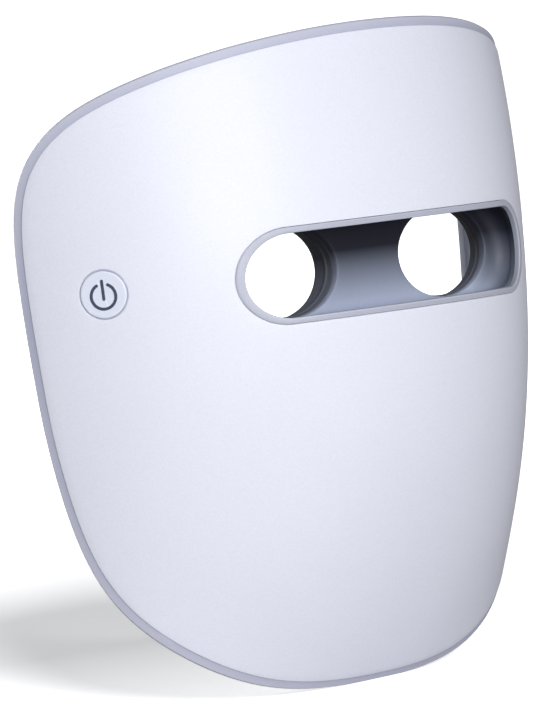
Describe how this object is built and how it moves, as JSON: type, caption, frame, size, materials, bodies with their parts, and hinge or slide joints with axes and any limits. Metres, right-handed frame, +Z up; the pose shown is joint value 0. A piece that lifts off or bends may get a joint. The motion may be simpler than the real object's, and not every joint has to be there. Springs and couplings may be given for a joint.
{
  "type": "led face mask",
  "caption": "Wrap-around face mask shield with a pill-shaped eye slot, grey edge frame, round power button, translucent inner light panel and soft pads.",
  "frame": {"origin": "bottom centre of the overall box, under the chin edge", "axes": "+Z up as worn, -Y the front of the shield, +X the wearer's left"},
  "size_m": [0.2044, 0.0772, 0.2036],
  "materials": {
    "shell_white": "satin gloss white",
    "rim_grey": "satin lavender grey",
    "tray_grey": "satin blue grey",
    "silicone_grey": "soft matte",
    "silicone_pale": "soft matte",
    "button_white": "satin",
    "mark_navy": "printed",
    "diffuser": "frosted translucent",
    "black_plastic": "matte",
    "board_green": "solder mask",
    "flex_white": "white solder mask",
    "led_body": "moulded with lens",
    "ribbon_amber": "polyimide film",
    "steel": "plain",
    "cell_silver": "pouch foil",
    "foam_black": "closed-cell foam",
    "wire_red": "insulated"
  },
  "bodies": {
    "mask": {"outer_shell": "shell_white", "rim_frame": "rim_grey", "edge_seal": "silicone_pale", "visor_tray": "tray_grey", "eye_cup_left": "silicone_grey", "eye_cup_right": "silicone_grey", "button_ring": "silicone_pale", "switch_body": "black_plastic", "main_board": "board_green", "board_components": "black_plastic", "battery_cell": "cell_silver", "battery_foam": "foam_black", "battery_lead": "wire_red", "charge_socket": "steel", "charge_board": "board_green", "charge_lead": "wire_red", "flap_hinge": "steel", "inner_panel": "diffuser", "screw_posts": "shell_white", "panel_screws": "steel", "led_board_brow": "flex_white", "led_group_brow": "led_body", "led_board_left_cheek": "flex_white", "led_group_left_cheek": "led_body", "led_board_right_cheek": "flex_white", "led_group_right_cheek": "led_body", "led_board_chin": "flex_white", "led_group_chin": "led_body", "ribbon_brow": "ribbon_amber", "ribbon_cheek": "ribbon_amber", "ribbon_chin": "ribbon_amber", "ribbon_far": "ribbon_amber", "nose_pad": "silicone_pale", "brow_pad": "silicone_pale", "strap_socket_left": "black_plastic", "strap_socket_right": "black_plastic"},
    "button": {"button_cap": "button_white", "button_mark": "mark_navy"},
    "plunger": {"switch_plunger": "black_plastic"},
    "flap": {"port_flap": "silicone_grey"}
  },
  "joints": [
    {"name": "button_press", "type": "slide", "parent": "mask", "child": "button", "axis": [0.8214, 0.5684, 0.0479], "range_m": [0, 0.0005], "stiffness_N_per_m": 300},
    {"name": "plunger_press", "type": "slide", "parent": "mask", "child": "plunger", "axis": [0.8214, 0.5684, 0.0479], "range_m": [0, 0.0005]},
    {"name": "flap_swing", "type": "hinge", "parent": "mask", "child": "flap", "pos_m": [0.09103, 0.03789, 0.09614], "axis": [0.1122, -0.0229, 0.9934], "range_deg": [0, 110]}
  ],
  "couplings": [
    {"joint": "plunger_press", "follows": "button_press", "ratio": 1}
  ]
}
